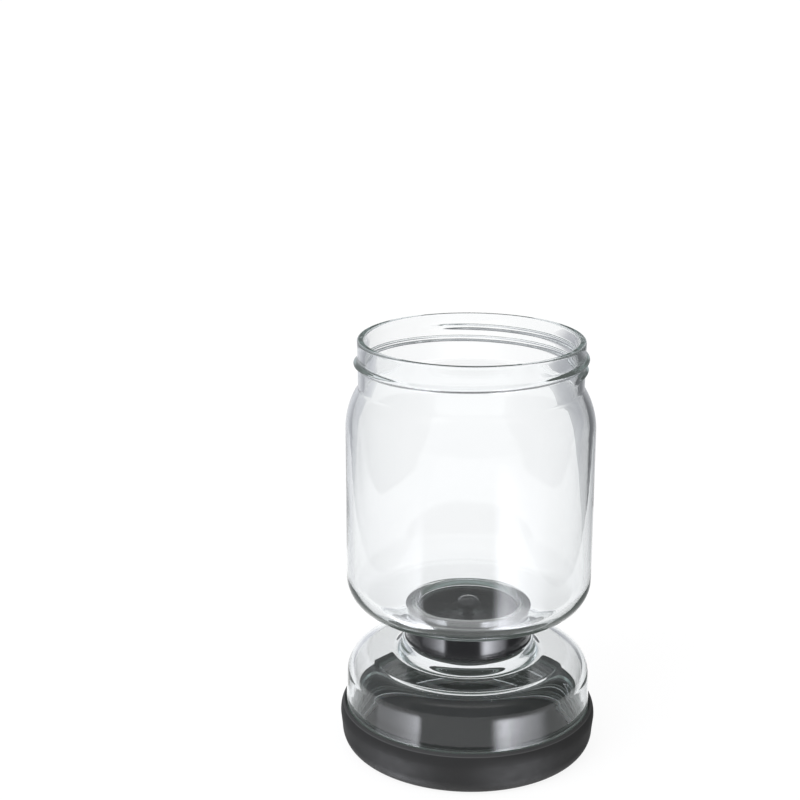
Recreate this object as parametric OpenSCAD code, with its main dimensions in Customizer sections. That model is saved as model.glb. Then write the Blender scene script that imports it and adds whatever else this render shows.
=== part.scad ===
// Pickle keeper: a wide glass jar screwed on top of a shallow glass reservoir.
// A collar joins the two at the waist, and a strainer sits in the collar.
// Turned over and back, the keeper floods the pickles and drains them again.
// Millimetres, +Z up, origin at the middle of the face the keeper stands on.

/* [Jar] */
// Outside diameter of the jar's body
jar_d = 120; // [114:1:130]
// Thickness of the jar's side wall
jar_wall = 3; // [2.4:0.1:3.6]
// Height of the straight part of the jar's side
jar_body_h = 75.5; // [60:0.5:110]
// Outer radius of the jar's bottom corner
jar_corner_r = 15; // [11:0.5:18]
// Fall of the jar's floor towards the waist, in degrees
jar_floor_fall = 8; // [4:1:12]
// Thickness of the jar's floor
jar_floor_t = 4; // [3:0.2:5]
// Radius of the curve of the jar's shoulder
jar_shoulder_r = 36; // [28:1:44]
// Radius of the hollow between the shoulder and the mouth
jar_nape_r = 2; // [1:0.5:4]

/* [Mouth] */
// Outside diameter of the jar's mouth below its lip
mouth_d = 107.8; // [104:0.2:110]
// Thickness of the glass at the mouth
mouth_wall = 3.3; // [2.6:0.1:4]
// Height of the mouth above the shoulder
mouth_h = 23; // [20:0.2:28]
// Rounding of the lip's two edges
lip_round = 1.1; // [0.6:0.1:1.2]
// Rise of the mouth's thread in one turn
mouth_pitch = 5.9; // [5:0.1:7]
// How far the mouth's thread stands out
mouth_thread_depth = 2; // [1.4:0.1:2.4]
// Width of the mouth's thread at its root
mouth_thread_w = 3.8; // [3:0.1:4.4]
// Length of the mouth's thread, in turns
mouth_thread_turns = 1.44; // [1:0.02:1.6]
// Depth of the thread's upper end below the lip
mouth_thread_drop = 7.2; // [6.6:0.1:8]

/* [Waist] */
// Outside diameter of the two glass necks in the collar
neck_d = 55; // [50:0.5:58]
// Thickness of the glass in the necks
neck_wall = 2.8; // [2.2:0.1:3.2]
// Height of each neck
neck_h = 6; // [5.6:0.1:9]
// Rise of the necks' thread in one turn
neck_pitch = 3.6; // [3.4:0.1:4.2]
// How far the necks' thread stands out
neck_thread_depth = 1.3; // [1:0.1:1.5]
// Width of the necks' thread at its root
neck_thread_w = 1.5; // [1.2:0.1:1.6]
// Thickness of the two flat seals in the collar
neck_seal_t = 1; // [0.8:0.1:1.6]

/* [Collar] */
// Thickness of the collar's wall outside its thread
collar_wall = 2; // [1.6:0.1:3]
// Thickness of the ledge that carries the strainer
ledge_t = 1.6; // [1.2:0.1:2.4]
// Diameter of the hole in the ledge
ledge_bore_d = 44; // [40:0.5:45]
// How far the collar's two edge beads stand out
collar_bead = 0.4; // [0.2:0.1:0.8]
// Height of each edge bead
collar_bead_h = 1.4; // [1:0.1:2]

/* [Strainer] */
// Thickness of the strainer's floor
strainer_floor_t = 1.6; // [1.2:0.1:2.4]
// Height of the strainer's rim
strainer_h = 7; // [6:0.2:8]
// Thickness of the strainer's rim
strainer_wall = 1.9; // [1.5:0.1:2.4]
// Diameter of one drain hole
drain_d = 2.8; // [2:0.1:3.4]
// Distance between neighbouring drain holes
drain_step = 4.5; // [4:0.1:6]
// Diameter of the lifting knob
knob_d = 11; // [9:0.5:13]
// Height of the lifting knob above the strainer's floor
knob_h = 10.5; // [9:0.5:13]
// Height of the seal round the strainer
strainer_seal_h = 3; // [2:0.2:3.6]

/* [Reservoir] */
// Outside diameter of the reservoir where it leaves the cap
res_d = 121.6; // [116:0.2:130]
// How much the reservoir's side leans in towards its shoulder
res_draft = 0.8; // [0.2:0.1:1.4]
// Thickness of the reservoir's wall
res_wall = 3.2; // [2.6:0.1:3.6]
// Height from the reservoir's rim to the top of its shoulder
res_h = 43.8; // [38:0.2:60]
// Outer radius of the reservoir's shoulder
res_shoulder_r = 11.5; // [9:0.5:14]
// Height of the flare between the shoulder and the waist
flare_h = 4.4; // [3.6:0.2:7]
// Height of the bead under the collar
bead_h = 2.1; // [1.6:0.1:3]
// How far the bead stands out past the collar
bead_out = 1.6; // [1:0.1:2.4]

/* [Base cap] */
// Outside height of the base cap
cap_h = 21.5; // [20.5:0.1:23]
// Thickness of the base cap's floor
cap_floor_t = 2.4; // [1.8:0.1:3]
// Thickness of the base cap's skirt
cap_wall = 2.4; // [2:0.1:3]
// How much the skirt leans out towards its open edge
cap_draft = 0.8; // [0.2:0.1:1.2]
// Fall of the skirt's bevelled rim from the glass outwards
cap_bevel_h = 1.7; // [0.4:0.1:2.4]
// Height of the base cap's widest place
cap_wide_z = 15; // [11:0.5:17]
// How much the cap's side draws in from its widest place up to the bevel
cap_tuck = 0.9; // [0.4:0.1:1.2]
// Width of the rounding at the foot of the cap
cap_foot_w = 5.4; // [3:0.2:7]
// Height of the rounding at the foot of the cap
cap_foot_h = 7.7; // [4:0.1:9]
// Thickness of the flat seal in the base cap
cap_seal_t = 1.8; // [1.2:0.1:2.2]
// Step from the reservoir's side in to its threaded rim
finish_step = 3.2; // [2.8:0.1:3.6]
// Height of the reservoir's threaded rim
finish_h = 13.6; // [13:0.2:15]
// Rise of the base cap's thread in one turn
cap_pitch = 6; // [5.4:0.1:6.4]
// How far the base cap's thread stands out
cap_thread_depth = 1.8; // [1.3:0.1:2]
// Width of the base cap's thread at its root
cap_thread_w = 2.6; // [2:0.1:2.8]

/* [Fits] */
// Running gap round a threaded part and at its stop
gap = 0.3; // [0.2:0.05:0.4]
// Gap between the two threads of a pair, along the axis
flank_gap = 0.35; // [0.3:0.05:0.5]
// Gap between the strainer's seal and the neck
seal_gap = 0.3; // [0.2:0.05:0.35]

/* [Hidden] */
$fn = 96;
arc_n = 10;          // steps in a quarter turn of a profile's arc
thread_steps = 40;   // steps in one turn of a thread
thread_sink = 0.6;   // how deep a thread's root lies in its wall
thread_ease = 5;     // steps over which a thread's end runs out
tip_share = 0.53;    // width of a thread's tip as a share of its root
edge = 0.8;          // rounding of the ground edges of the glass
fine_edge = 0.5;     // rounding of the edges of the moulded pieces
neck_foot = 0.5;     // extra height of the reservoir's neck under its thread
throat = 8;          // radius of the reservoir's throat
lip_flare = 0.3;     // how far the lip stands out past the foot of the mouth
seal_in = 0.8;       // how far the cap's seal reaches inside the reservoir's rim
seal_wall = 0.9;     // depth of the strainer's groove
seal_fit = 0.05;     // gap of the strainer's seal in its groove
mouth_start = -34;   // where the mouth's thread starts, in degrees from +X
cap_play = 2 * gap;  // room between the cap's wall and the reservoir's thread

// Radii
jar_r = jar_d / 2;
mouth_r = mouth_d / 2;
mouth_bore_r = mouth_r - mouth_wall;
neck_r = neck_d / 2;
neck_bore_r = neck_r - neck_wall;
collar_bore_r = neck_r + neck_thread_depth + gap;
collar_r = collar_bore_r + collar_wall;
bead_r = collar_r + bead_out;
res_r = res_d / 2;
finish_r = res_r - finish_step;
finish_bore_r = finish_r - res_wall;
thread_wall_r = finish_r + cap_thread_depth + cap_play;
skirt_bore_r = res_r + gap;
cap_wide_r = skirt_bore_r + cap_wall;
cap_foot_r = cap_wide_r - cap_draft;
seal_in_r = neck_bore_r + gap;
seal_out_r = neck_r;
strainer_r = neck_bore_r - 2 * seal_gap;
groove_r = strainer_r - seal_wall;

// Heights, from the table up
res_rim_z = cap_floor_t + cap_seal_t;
finish_top_z = res_rim_z + finish_h;
res_top_z = res_rim_z + res_h;
bead_z = res_top_z + flare_h;
bead_top_z = bead_z + bead_h;
res_neck_z = bead_top_z + neck_foot + neck_h;
ledge_z = res_neck_z + neck_seal_t;
ledge_top_z = ledge_z + ledge_t;
jar_rim_z = ledge_top_z + neck_seal_t;
jar_foot_z = jar_rim_z + neck_h;
collar_z = bead_top_z + gap;
collar_top_z = jar_foot_z - gap;
jar_corner_z = jar_foot_z
    + (jar_r - jar_corner_r * (1 - sin(jar_floor_fall)) - collar_r - gap) * tan(jar_floor_fall)
    + jar_corner_r * cos(jar_floor_fall);
shoulder_z = jar_corner_z + jar_body_h;
shoulder_turn = bend_turn(mouth_r, jar_shoulder_r, jar_nape_r);
mouth_z = shoulder_z + (jar_shoulder_r + jar_nape_r) * sin(shoulder_turn);
lip_z = mouth_z + mouth_h;

// Angle at which the shoulder's curve, of radius big, meets the hollow of radius small under the mouth.
function bend_turn(r, big, small) = acos((r + small - (jar_r - jar_shoulder_r)) / (big + small));

// Points of an arc about (cx, cz) from angle a to angle b, with radii rx and rz.
function arc(cx, cz, rx, rz, a, b) =
    let (n = max(2, ceil(abs(b - a) * arc_n / 90)))
    [for (i = [0:n]) let (t = a + (b - a) * i / n) [cx + rx * cos(t), cz + rz * sin(t)]];

// A solid of revolution from its half outline.
module turned(outline) {
    rotate_extrude() polygon(outline);
}

// A helical thread on a wall of radius root. It stands out by depth, or in if depth is negative.
module thread(root, depth, w, pitch, turns, start, z) {
    n = ceil(turns * thread_steps);
    side = sign(depth);
    w_sunk = w * (1 + (1 - tip_share) * thread_sink / abs(depth));
    function stands(i) = min(1, i / thread_ease, (n - i) / thread_ease);
    function tip(i) = root + side * ((abs(depth) + gap) * stands(i) - gap);
    function section(i) =
        let (sunk = root - side * thread_sink, zc = z + pitch * turns * i / n, t = start + 360 * turns * i / n,
             ins = side > 0 ? [sunk, w_sunk / 2] : [tip(i), w * tip_share / 2],
             out = side > 0 ? [tip(i), w * tip_share / 2] : [sunk, w_sunk / 2])
        [for (p = [[ins[0], -ins[1]], [out[0], -out[1]], out, ins]) [p[0] * cos(t), p[0] * sin(t), zc + p[1]]];
    points = [for (i = [0:n]) each section(i)];
    sides = [for (i = [0:n - 1], k = [0:3])
        let (a = 4 * i + k, b = 4 * i + (k + 1) % 4)
        each [[a, b, b + 4], [a, b + 4, a + 4]]];
    ends = [[3, 2, 1], [3, 1, 0], [4 * n, 4 * n + 1, 4 * n + 2], [4 * n, 4 * n + 2, 4 * n + 3]];
    polyhedron(points, concat(sides, ends));
}

// Height between the middles of a pair's two threads, with flank_gap left between their flanks.
function flank_rise(w, depth, play) = w * (1 - (1 - tip_share) * (1 + play / depth) / 2) + flank_gap;

// The threads of each joint. A nut's thread starts behind the screw's by a part turn, in degrees.
neck_turns = 0.85;
neck_nut_back = 110;
neck_rise = flank_rise(neck_thread_w, neck_thread_depth, gap);
neck_thread_z = neck_thread_w / 2 + gap;
cap_turns = 1.2;
cap_nut_turns = 1.25;
cap_nut_back = 150;
cap_rise = flank_rise(cap_thread_w, cap_thread_depth, cap_play);
cap_thread_z = res_rim_z + edge + cap_thread_w / 2 + gap;

module neck_thread(z) {
    thread(neck_r, neck_thread_depth, neck_thread_w, neck_pitch, neck_turns, 0, z);
}

// The collar's thread for the neck whose thread starts at z: above it (side 1) or below it (side -1).
module collar_thread(z, side) {
    thread(collar_bore_r, -neck_thread_depth, neck_thread_w, neck_pitch, neck_turns, -side * neck_nut_back,
           z + side * (neck_rise - neck_pitch * neck_nut_back / 360));
}

module base_cap() {
    land_r = cap_foot_r - cap_foot_w;
    land_w = 6;
    recess = 0.8;
    step_z = finish_top_z - gap;
    turn = 45;                      // angle that the tucked side turns through
    tuck_w = cap_tuck / (1 - cos(turn));
    tuck_h = (cap_h - cap_bevel_h - cap_wide_z) / sin(turn);
    color("dimgray") union() {
        turned(concat(
            [[0, recess], [land_r - land_w - recess, recess], [land_r - land_w, 0]],
            arc(land_r, cap_foot_h, cap_foot_w, cap_foot_h, -90, 0),
            arc(cap_wide_r - tuck_w, cap_wide_z, tuck_w, tuck_h, 0, turn),
            [[skirt_bore_r + gap, cap_h], [skirt_bore_r, cap_h - gap], [skirt_bore_r, step_z + gap],
             [thread_wall_r, step_z - gap], [thread_wall_r, cap_floor_t], [0, cap_floor_t]]));
        thread(thread_wall_r, -cap_thread_depth, cap_thread_w, cap_pitch, cap_nut_turns,
               -cap_nut_back, cap_thread_z + cap_rise - cap_pitch * cap_nut_back / 360);
    }
}

module cap_seal() {
    in_r = finish_bore_r - seal_in;
    out_r = finish_r;
    color("darkslategray") turned([
        [in_r, cap_floor_t], [out_r, cap_floor_t], [out_r, res_rim_z - gap], [out_r - gap, res_rim_z],
        [in_r + gap, res_rim_z], [in_r, res_rim_z - gap]]);
}

module reservoir() {
    top_r = res_r - res_draft;
    draft_h = 8;                    // height over which the side leans in above the cap
    corner_r = top_r - res_shoulder_r;
    corner_z = res_top_z - res_shoulder_r;
    in_corner_r = res_shoulder_r - res_wall;
    ceiling_z = res_top_z - res_wall;
    sweep_w = 6;                    // width of the sweep up to the bead
    sweep_rise = 0.4;               // rise of the flat shoulder before the sweep
    step_h = 2.4;                   // height of the step from the threaded rim out to the side
    step_ease = 0.4;
    bead_round = 1;
    color("honeydew", 0.5) union() {
        turned(concat(
            arc(finish_bore_r + edge, res_rim_z + edge, edge, edge, 180, 270),
            arc(finish_r - edge, res_rim_z + edge, edge, edge, -90, 0),
            [[finish_r, finish_top_z - step_ease], [finish_r + step_ease, finish_top_z],
             [res_r - step_ease, finish_top_z + step_h - step_ease], [res_r, finish_top_z + step_h],
             [res_r, cap_h], [top_r + res_draft / 4, cap_h + draft_h]],
            arc(corner_r, corner_z, res_shoulder_r, res_shoulder_r, 0, 90),
            arc(bead_r + sweep_w, bead_z, sweep_w, flare_h - sweep_rise, 270, 180),
            arc(bead_r - bead_round, bead_top_z - bead_round, bead_round, bead_round, 0, 90),
            [[neck_r, bead_top_z]],
            arc(neck_r - edge, res_neck_z - edge, edge, edge, 0, 90),
            arc(neck_bore_r + edge, res_neck_z - edge, edge, edge, 90, 180),
            arc(neck_bore_r + throat, ceiling_z + throat, throat, throat, 180, 270),
            arc(corner_r, corner_z, in_corner_r, in_corner_r, 90, 0),
            [[top_r - res_wall, cap_h + draft_h], [res_r - res_wall, cap_h],
             [finish_bore_r, finish_top_z - step_h / 2]]));
        thread(finish_r, cap_thread_depth, cap_thread_w, cap_pitch, cap_turns, 0, cap_thread_z);
        neck_thread(bead_top_z + neck_foot + neck_thread_z);
    }
}

module collar_seal() {
    color("darkslategray") turned([
        [seal_in_r, res_neck_z], [seal_out_r, res_neck_z],
        [seal_out_r, ledge_z], [seal_in_r, ledge_z]]);
}

module collar() {
    bead_out_r = collar_r + collar_bead;
    color([0.05, 0.05, 0.055]) union() {
        turned(concat(
            [[ledge_bore_d / 2, ledge_z], [collar_bore_r, ledge_z], [collar_bore_r, collar_z]],
            arc(bead_out_r - fine_edge, collar_z + fine_edge, fine_edge, fine_edge, -90, 0),
            [[bead_out_r, collar_z + collar_bead_h - collar_bead], [collar_r, collar_z + collar_bead_h],
             [collar_r, collar_top_z - collar_bead_h],
             [bead_out_r, collar_top_z - collar_bead_h + collar_bead]],
            arc(bead_out_r - fine_edge, collar_top_z - fine_edge, fine_edge, fine_edge, 0, 90),
            [[collar_bore_r, collar_top_z], [collar_bore_r, ledge_top_z],
             [ledge_bore_d / 2, ledge_top_z]]));
        collar_thread(bead_top_z + neck_foot + neck_thread_z, -1);
        collar_thread(jar_rim_z + neck_thread_z, 1);
    }
}

module jar_seal() {
    color("darkslategray") turned([
        [seal_in_r, ledge_top_z], [seal_out_r, ledge_top_z],
        [seal_out_r, jar_rim_z], [seal_in_r, jar_rim_z]]);
}

module jar() {
    foot_r = collar_r + gap;                    // edge of the flat foot that faces the collar
    corner_r = jar_r - jar_corner_r;
    in_corner = jar_corner_r - jar_wall;
    in_corner_z = jar_corner_z + jar_floor_t - jar_wall;
    fall = jar_floor_fall;
    fillet = 2.4;                               // rounding of the floor's edge over the neck
    floor_z = in_corner_z - in_corner * cos(fall)
        - (corner_r + in_corner * sin(fall) - neck_bore_r) * tan(fall);
    shoulder_in_r = jar_shoulder_r - jar_wall;
    nape_in_r = jar_nape_r + jar_wall;
    in_turn = bend_turn(mouth_bore_r, shoulder_in_r, nape_in_r);
    nape_in_z = shoulder_z + (shoulder_in_r + nape_in_r) * sin(in_turn);
    shoulder_c = jar_r - jar_shoulder_r;
    color("aliceblue", 0.5) union() {
        turned(concat(
            arc(neck_bore_r + edge, jar_rim_z + edge, edge, edge, 180, 270),
            arc(neck_r - edge, jar_rim_z + edge, edge, edge, -90, 0),
            arc(neck_r + edge, jar_foot_z - edge, edge, edge, 180, 90),
            [[foot_r, jar_foot_z]],
            arc(corner_r, jar_corner_z, jar_corner_r, jar_corner_r, fall - 90, 0),
            arc(shoulder_c, shoulder_z, jar_shoulder_r, jar_shoulder_r, 0, shoulder_turn),
            arc(mouth_r + jar_nape_r, mouth_z, jar_nape_r, jar_nape_r, 180 + shoulder_turn, 180),
            arc(mouth_r + lip_flare - lip_round, lip_z - lip_round, lip_round, lip_round, 0, 90),
            arc(mouth_bore_r + lip_round, lip_z - lip_round, lip_round, lip_round, 90, 180),
            arc(mouth_bore_r + nape_in_r, nape_in_z, nape_in_r, nape_in_r, 180, 180 + in_turn),
            arc(shoulder_c, shoulder_z, shoulder_in_r, shoulder_in_r, in_turn, 0),
            arc(corner_r, in_corner_z, in_corner, in_corner, 0, fall - 90),
            arc(neck_bore_r + fillet, floor_z - fillet / cos(fall) + fillet * tan(fall), fillet, fillet,
                90 + fall, 180)));
        thread(mouth_r, mouth_thread_depth, mouth_thread_w, mouth_pitch, mouth_thread_turns, mouth_start,
               lip_z - mouth_thread_drop - mouth_pitch * mouth_thread_turns);
        neck_thread(jar_rim_z + neck_thread_z);
    }
}

// Height of the foot of the strainer's groove, and number of drain holes on a circle of radius r.
groove_z = ledge_top_z + (strainer_h + strainer_floor_t - strainer_seal_h) / 2;
function holes_on(r) = floor(2 * PI * r / drain_step);

module strainer() {
    floor_top_z = ledge_top_z + strainer_floor_t;
    rim_z = ledge_top_z + strainer_h;
    in_r = strainer_r - strainer_wall;
    hub_r = knob_d / 2;
    drain_r = ledge_bore_d / 2 - drain_d;               // outermost circle of holes
    rings = floor((drain_r - hub_r - drain_d / 2) / drain_step);
    stem_r = 2.4;
    stem_fillet = 1.6;
    head_edge = 1.2;
    head = 2.6;
    head_z = floor_top_z + knob_h - head;
    color([0.06, 0.06, 0.065]) difference() {
        turned(concat(
            [[0, ledge_top_z], [strainer_r - fine_edge, ledge_top_z], [strainer_r, ledge_top_z + fine_edge],
             [strainer_r, groove_z], [groove_r, groove_z], [groove_r, groove_z + strainer_seal_h],
             [strainer_r, groove_z + strainer_seal_h]],
            arc(strainer_r - fine_edge, rim_z - fine_edge, fine_edge, fine_edge, 0, 90),
            arc(in_r + fine_edge, rim_z - fine_edge, fine_edge, fine_edge, 90, 180),
            [[in_r, floor_top_z]],
            arc(stem_r + stem_fillet, floor_top_z + stem_fillet, stem_fillet, stem_fillet, 270, 180),
            [[stem_r, head_z - head_edge - head]],
            arc(hub_r - head_edge, head_z - head_edge, head_edge, head_edge, -60, 0),
            arc(0, head_z, hub_r, head, 0, 90)));
        for (ring = [0:rings])
            drains(drain_r - ring * drain_step, ring % 2 / 2);
    }
}

// A circle of drain holes of radius r, turned by a share of one step.
module drains(r, turn) {
    for (i = [0:holes_on(r) - 1])
        rotate(360 * (i + turn) / holes_on(r))
            translate([r, 0, ledge_top_z - gap])
                cylinder(d = drain_d, h = strainer_floor_t + 2 * gap, $fn = 24);
}

module strainer_seal() {
    z = groove_z + seal_fit;
    h = strainer_seal_h - 2 * seal_fit;
    in_r = groove_r + seal_fit;
    rib_r = neck_bore_r - seal_gap;
    color("gray") turned([
        [in_r, z], [strainer_r, z], [rib_r, z + 0.2 * h], [strainer_r, z + 0.4 * h],
        [strainer_r, z + 0.6 * h], [rib_r, z + 0.8 * h], [strainer_r, z + h], [in_r, z + h]]);
}

base_cap();
cap_seal();
reservoir();
collar_seal();
collar();
jar_seal();
jar();
strainer();
strainer_seal();
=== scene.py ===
"""Looks of an hourglass pickle keeper: a glass jar and a glass reservoir, screwed into a black
collar at the waist, on a dark grey base cap. The keeper's sizes are in millimetres, which the meshes
turn to metres, and the studio's are in metres."""

import logging
import math
from dataclasses import dataclass, replace
from enum import Enum
from typing import Callable

import bpy
import numpy as np
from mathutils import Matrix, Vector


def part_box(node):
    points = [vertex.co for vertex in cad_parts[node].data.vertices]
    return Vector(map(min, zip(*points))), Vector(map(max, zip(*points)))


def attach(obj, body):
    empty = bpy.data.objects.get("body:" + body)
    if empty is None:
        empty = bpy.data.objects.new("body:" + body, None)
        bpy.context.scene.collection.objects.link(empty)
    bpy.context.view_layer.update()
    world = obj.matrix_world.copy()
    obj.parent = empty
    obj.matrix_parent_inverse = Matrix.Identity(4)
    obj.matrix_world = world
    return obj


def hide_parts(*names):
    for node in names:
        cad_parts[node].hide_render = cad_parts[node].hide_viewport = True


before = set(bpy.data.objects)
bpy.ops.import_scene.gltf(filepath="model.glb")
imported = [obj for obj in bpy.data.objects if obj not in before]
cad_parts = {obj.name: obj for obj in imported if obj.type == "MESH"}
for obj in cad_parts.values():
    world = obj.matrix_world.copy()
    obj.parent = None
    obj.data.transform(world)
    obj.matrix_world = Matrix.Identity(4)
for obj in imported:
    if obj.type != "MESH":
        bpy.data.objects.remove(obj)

MM = 0.001
ON_AXIS = 1e-6  # millimetres: an outline's end nearer to the axis than this is a pole
SAME = 1e-4  # millimetres: neighbours nearer than this are one point
ON_WALL = 0.05  # millimetres: a point this near to a wall's radius lies on the wall
WELD = 1e7  # steps per metre of the grid on which the corners of loose triangles are matched
NECK_STEP = 0.22  # millimetres between the points up a wall with a neck thread
MIDDLE = (0.3, 0.7)  # the range that a noise mostly stays in
log = logging.getLogger("keeper")

Relief = Callable[[np.ndarray, np.ndarray, np.ndarray], np.ndarray]


class Slot(Enum):
    """The record's material slots."""

    GLASS = "glass"
    CAP = "cap_plastic"
    COLLAR = "collar_plastic"
    SILICONE = "silicone"


class Side(Enum):
    """Which way a thread stands from its wall: out from a screw, or in from a nut."""

    SCREW = 1.0
    NUT = -1.0


# -------- outlines


def arc(cx: float, cz: float, rx: float, rz: float, a: float, b: float, n: int = 8) -> np.ndarray:
    """Points of an elliptic arc: (cx + rx cos t, cz + rz sin t) for n + 1 even steps of t.

    Args:
        cx: radius of the arc's centre.
        cz: height of the arc's centre.
        rx: half width.
        rz: half height.
        a: first angle, in degrees.
        b: last angle, in degrees.
        n: number of steps.

    Returns:
        An array of n + 1 rows (radius, height).
    """
    t = np.radians(np.linspace(a, b, n + 1))
    return np.column_stack([cx + rx * np.cos(t), cz + rz * np.sin(t)])


def run(r0: float, z0: float, r1: float, z1: float, step: float) -> np.ndarray:
    """Points of a straight run with both ends, no further apart than a step.

    Args:
        r0: radius of the first end.
        z0: height of the first end.
        r1: radius of the last end.
        z1: height of the last end.
        step: largest distance between neighbours.

    Returns:
        An array of rows (radius, height).
    """
    n = max(1, int(math.ceil(math.hypot(r1 - r0, z1 - z0) / step)))
    s = np.linspace(0.0, 1.0, n + 1)[:, None]
    return np.array([[r0, z0]]) * (1 - s) + np.array([[r1, z1]]) * s


def outline(*parts: np.ndarray) -> np.ndarray:
    """Joins runs and arcs into one outline, and drops points that repeat.

    Args:
        parts: arrays of rows (radius, height), in order.

    Returns:
        One array of rows (radius, height).
    """
    p = np.vstack(parts)
    far = np.hypot(*np.diff(p, axis=0, prepend=p[:1] - 1.0).T) > SAME
    p = p[far]
    return p[:-1] if np.hypot(*(p[0] - p[-1])) < SAME else p


# -------- reliefs


def between(z: np.ndarray, low: float, high: float, fade: float) -> np.ndarray:
    """A share that is 1 between two heights and falls in a straight line to 0 at each of them.

    Args:
        z: heights.
        low: the lower height.
        high: the upper height.
        fade: length of the fall.

    Returns:
        The share at each height.
    """
    return np.clip((z - low) / fade, 0, 1) * np.clip((high - z) / fade, 0, 1)


@dataclass(frozen=True)
class Thread:
    """A single-start right-handed thread, as a height added to the radius of a wall."""

    depth: float
    width: float
    pitch: float
    turns: float
    start: float = 0.0
    foot: float = 0.0
    side: Side = Side.SCREW
    ease: float = 22.0
    flat: float = 0.0

    def relief(self, t: np.ndarray, r: np.ndarray, z: np.ndarray) -> np.ndarray:
        """Height of the thread over its wall.

        Along the thread, s is the angle gone since its start, counted through its turns, and its
        middle lies at foot + pitch s / 360. Across it, u is the distance from that middle over half
        the width, and the height falls from 1 to 0 as a half cosine outside the flat share of u.
        Both ends rise and fall as a smooth step over the ease angle.

        Args:
            t: angles, in degrees.
            r: radii.
            z: heights.

        Returns:
            The height to add to the radius.
        """
        total = np.zeros_like(z)
        length = 360.0 * self.turns
        first = np.mod(t - self.start, 360.0)
        for turn in range(int(math.ceil(self.turns))):
            s = first + 360.0 * turn
            u = np.abs(z - self.foot - self.pitch * s / 360.0) / (self.width / 2)
            u = np.clip((u - self.flat) / (1.0 - self.flat), 0.0, 1.0)
            ends = np.clip(np.minimum(s, length - s) / self.ease, 0.0, 1.0)
            ends = ends * ends * (3.0 - 2.0 * ends)
            total = np.maximum(total, ends * (0.5 + 0.5 * np.cos(np.pi * u)))
        return self.side.value * self.depth * total


@dataclass(frozen=True)
class Waves:
    """The slow unevenness of pressed glass, as a sum of a few long waves round and up the wall."""

    height: float
    seed: int
    count: int = 7
    most_lobes: int = 8
    lean: float = 0.09
    calm: float = 0.3

    def relief(self, t: np.ndarray, r: np.ndarray, z: np.ndarray) -> np.ndarray:
        """Sum of sines of (lobes t + lean z + phase), each over 1 + calm times its lobes.

        Args:
            t: angles, in degrees.
            r: radii.
            z: heights.

        Returns:
            The height to add to the radius.
        """
        rng = np.random.default_rng(self.seed)
        lobes = rng.integers(1, self.most_lobes + 1, self.count)
        lean = rng.uniform(-self.lean, self.lean, self.count)
        phase = rng.uniform(0.0, 2 * np.pi, self.count)
        a = np.radians(t)
        waves = [np.sin(n * a + k * z + p) / (1.0 + self.calm * n) for n, k, p in zip(lobes, lean, phase)]
        return self.height * np.sum(waves, axis=0)


# -------- meshes


def mesh_piece(name: str, points: np.ndarray, faces: list[np.ndarray]) -> bpy.types.Object:
    """Makes an object at the origin from points in millimetres and faces of one or more sizes.

    Args:
        name: the piece's name.
        points: rows (x, y, z).
        faces: arrays of rows of point numbers, each array with faces of one size.

    Returns:
        The new object, smooth shaded.
    """
    mesh = bpy.data.meshes.new(name)
    mesh.vertices.add(len(points))
    mesh.vertices.foreach_set("co", (points * MM).astype(np.float32).ravel())
    corners = np.concatenate([f.ravel() for f in faces]).astype(np.int32)
    sizes = np.concatenate([np.full(len(f), f.shape[1], np.int32) for f in faces])
    mesh.loops.add(len(corners))
    mesh.loops.foreach_set("vertex_index", corners)
    mesh.polygons.add(len(sizes))
    mesh.polygons.foreach_set("loop_start", np.concatenate([[0], np.cumsum(sizes)[:-1]]).astype(np.int32))
    mesh.polygons.foreach_set("use_smooth", np.ones(len(sizes), bool))
    mesh.update(calc_edges=True)
    mesh.validate()
    piece = bpy.data.objects.new(name, mesh)
    bpy.context.scene.collection.objects.link(piece)
    return piece


def turned(name: str, line: np.ndarray, columns: int, relief: Relief | None = None) -> bpy.types.Object:
    """Turns an outline about Z into a closed surface.

    The point of column i and row j lies at angle t = 360 i / columns, height z of row j, and radius
    r of row j plus the relief at (t, r, z). An outline that starts and ends on the axis gets one
    point at each pole, and any other outline closes on itself.

    Args:
        name: the piece's name.
        line: rows (radius, height), with the solid on the left when walked in order.
        columns: number of columns round the axis.
        relief: the height to add to the radius, or None.

    Returns:
        The new object.
    """
    poles = line[0, 0] < ON_AXIS and line[-1, 0] < ON_AXIS
    rings = line[1:-1] if poles else line
    rows = len(rings)
    t, r = np.meshgrid(np.arange(columns) * 360.0 / columns, rings[:, 0], indexing="ij")
    z = np.broadcast_to(rings[:, 1], t.shape)
    radius = r + relief(t, r, z) if relief else r
    a = np.radians(t)
    points = np.stack([radius * np.cos(a), radius * np.sin(a), z], axis=-1).reshape(-1, 3)
    i, j = np.meshgrid(np.arange(columns), np.arange(rows - 1 if poles else rows), indexing="ij")
    near, far, up = i * rows, (i + 1) % columns * rows, (j + 1) % rows
    faces = [np.stack([near + j, far + j, far + up, near + up], axis=-1).reshape(-1, 4)]
    if poles:
        column = np.arange(columns) * rows
        after = np.roll(column, -1)
        low, high = len(points), len(points) + 1
        points = np.vstack([points, [0.0, 0.0, line[0, 1]], [0.0, 0.0, line[-1, 1]]])
        faces.append(np.column_stack([np.full(columns, low), after, column]))
        faces.append(np.column_stack([column + rows - 1, after + rows - 1, np.full(columns, high)]))
    return mesh_piece(name, points, faces)


def flat_ring(name: str, in_r: float, out_r: float, low: float, high: float, e: float) -> bpy.types.Object:
    """Makes a flat ring with round edges.

    Args:
        name: the piece's name.
        in_r: inner radius.
        out_r: outer radius.
        low: height of the lower face.
        high: height of the upper face.
        e: radius of the edges.

    Returns:
        The new object.
    """
    line = outline(
        arc(in_r + e, low + e, e, e, 180, 270, 4),
        arc(out_r - e, low + e, e, e, -90, 0, 4),
        arc(out_r - e, high - e, e, e, 0, 90, 4),
        arc(in_r + e, high - e, e, e, 90, 180, 4),
    )
    return turned(name, line, 192)


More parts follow.
